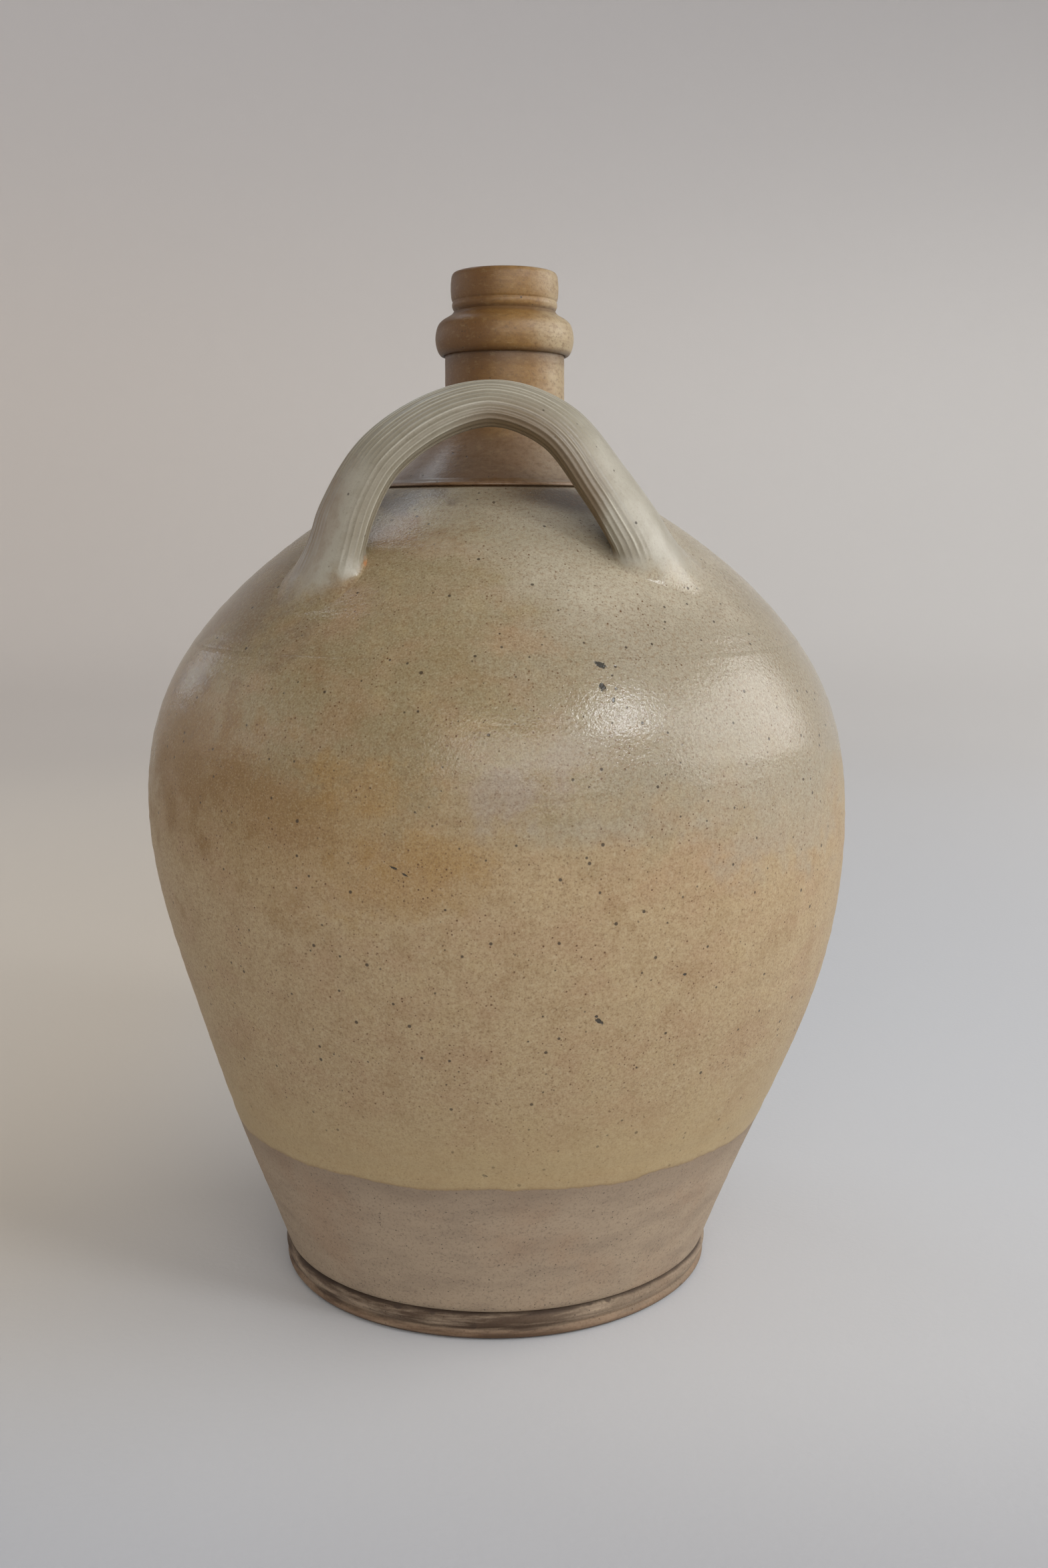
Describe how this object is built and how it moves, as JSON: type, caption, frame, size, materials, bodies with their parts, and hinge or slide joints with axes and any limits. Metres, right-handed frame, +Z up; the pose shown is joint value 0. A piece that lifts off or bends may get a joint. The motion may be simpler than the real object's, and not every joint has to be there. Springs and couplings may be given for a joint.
{
  "type": "stoneware jug",
  "caption": "Round-bellied glazed stoneware jug with a beaded foot, domed shoulder, narrow collared bottle neck and ribbed strap handles arching from the shoulder.",
  "frame": {"origin": "centre of the foot's underside, on the surface that the jug stands on", "axes": "+Z up through the mouth, +X to the right and -Y towards the viewer, with the front handle on the -Y side"},
  "size_m": [0.2654, 0.2654, 0.3808],
  "materials": {
    "glazed_body": "thin olive-cream ash glaze over buff stoneware, toasted on the belly",
    "toasted_neck": "thin glaze toasted to tan",
    "bare_clay": "bare fired stoneware, pinkish grey-brown",
    "handle_glaze": "grey-cream glaze pooled between ribs"
  },
  "bodies": {
    "root": {"base_disc": "bare_clay", "foot_bead": "bare_clay", "lower_wall": "glazed_body", "upper_wall": "glazed_body", "neck": "toasted_neck", "string_collar": "toasted_neck", "mouth_lip": "toasted_neck", "front_handle": "handle_glaze", "front_left_root": "handle_glaze", "front_right_root": "handle_glaze", "rear_handle": "handle_glaze", "rear_left_root": "handle_glaze", "rear_right_root": "handle_glaze"}
  },
  "joints": []
}
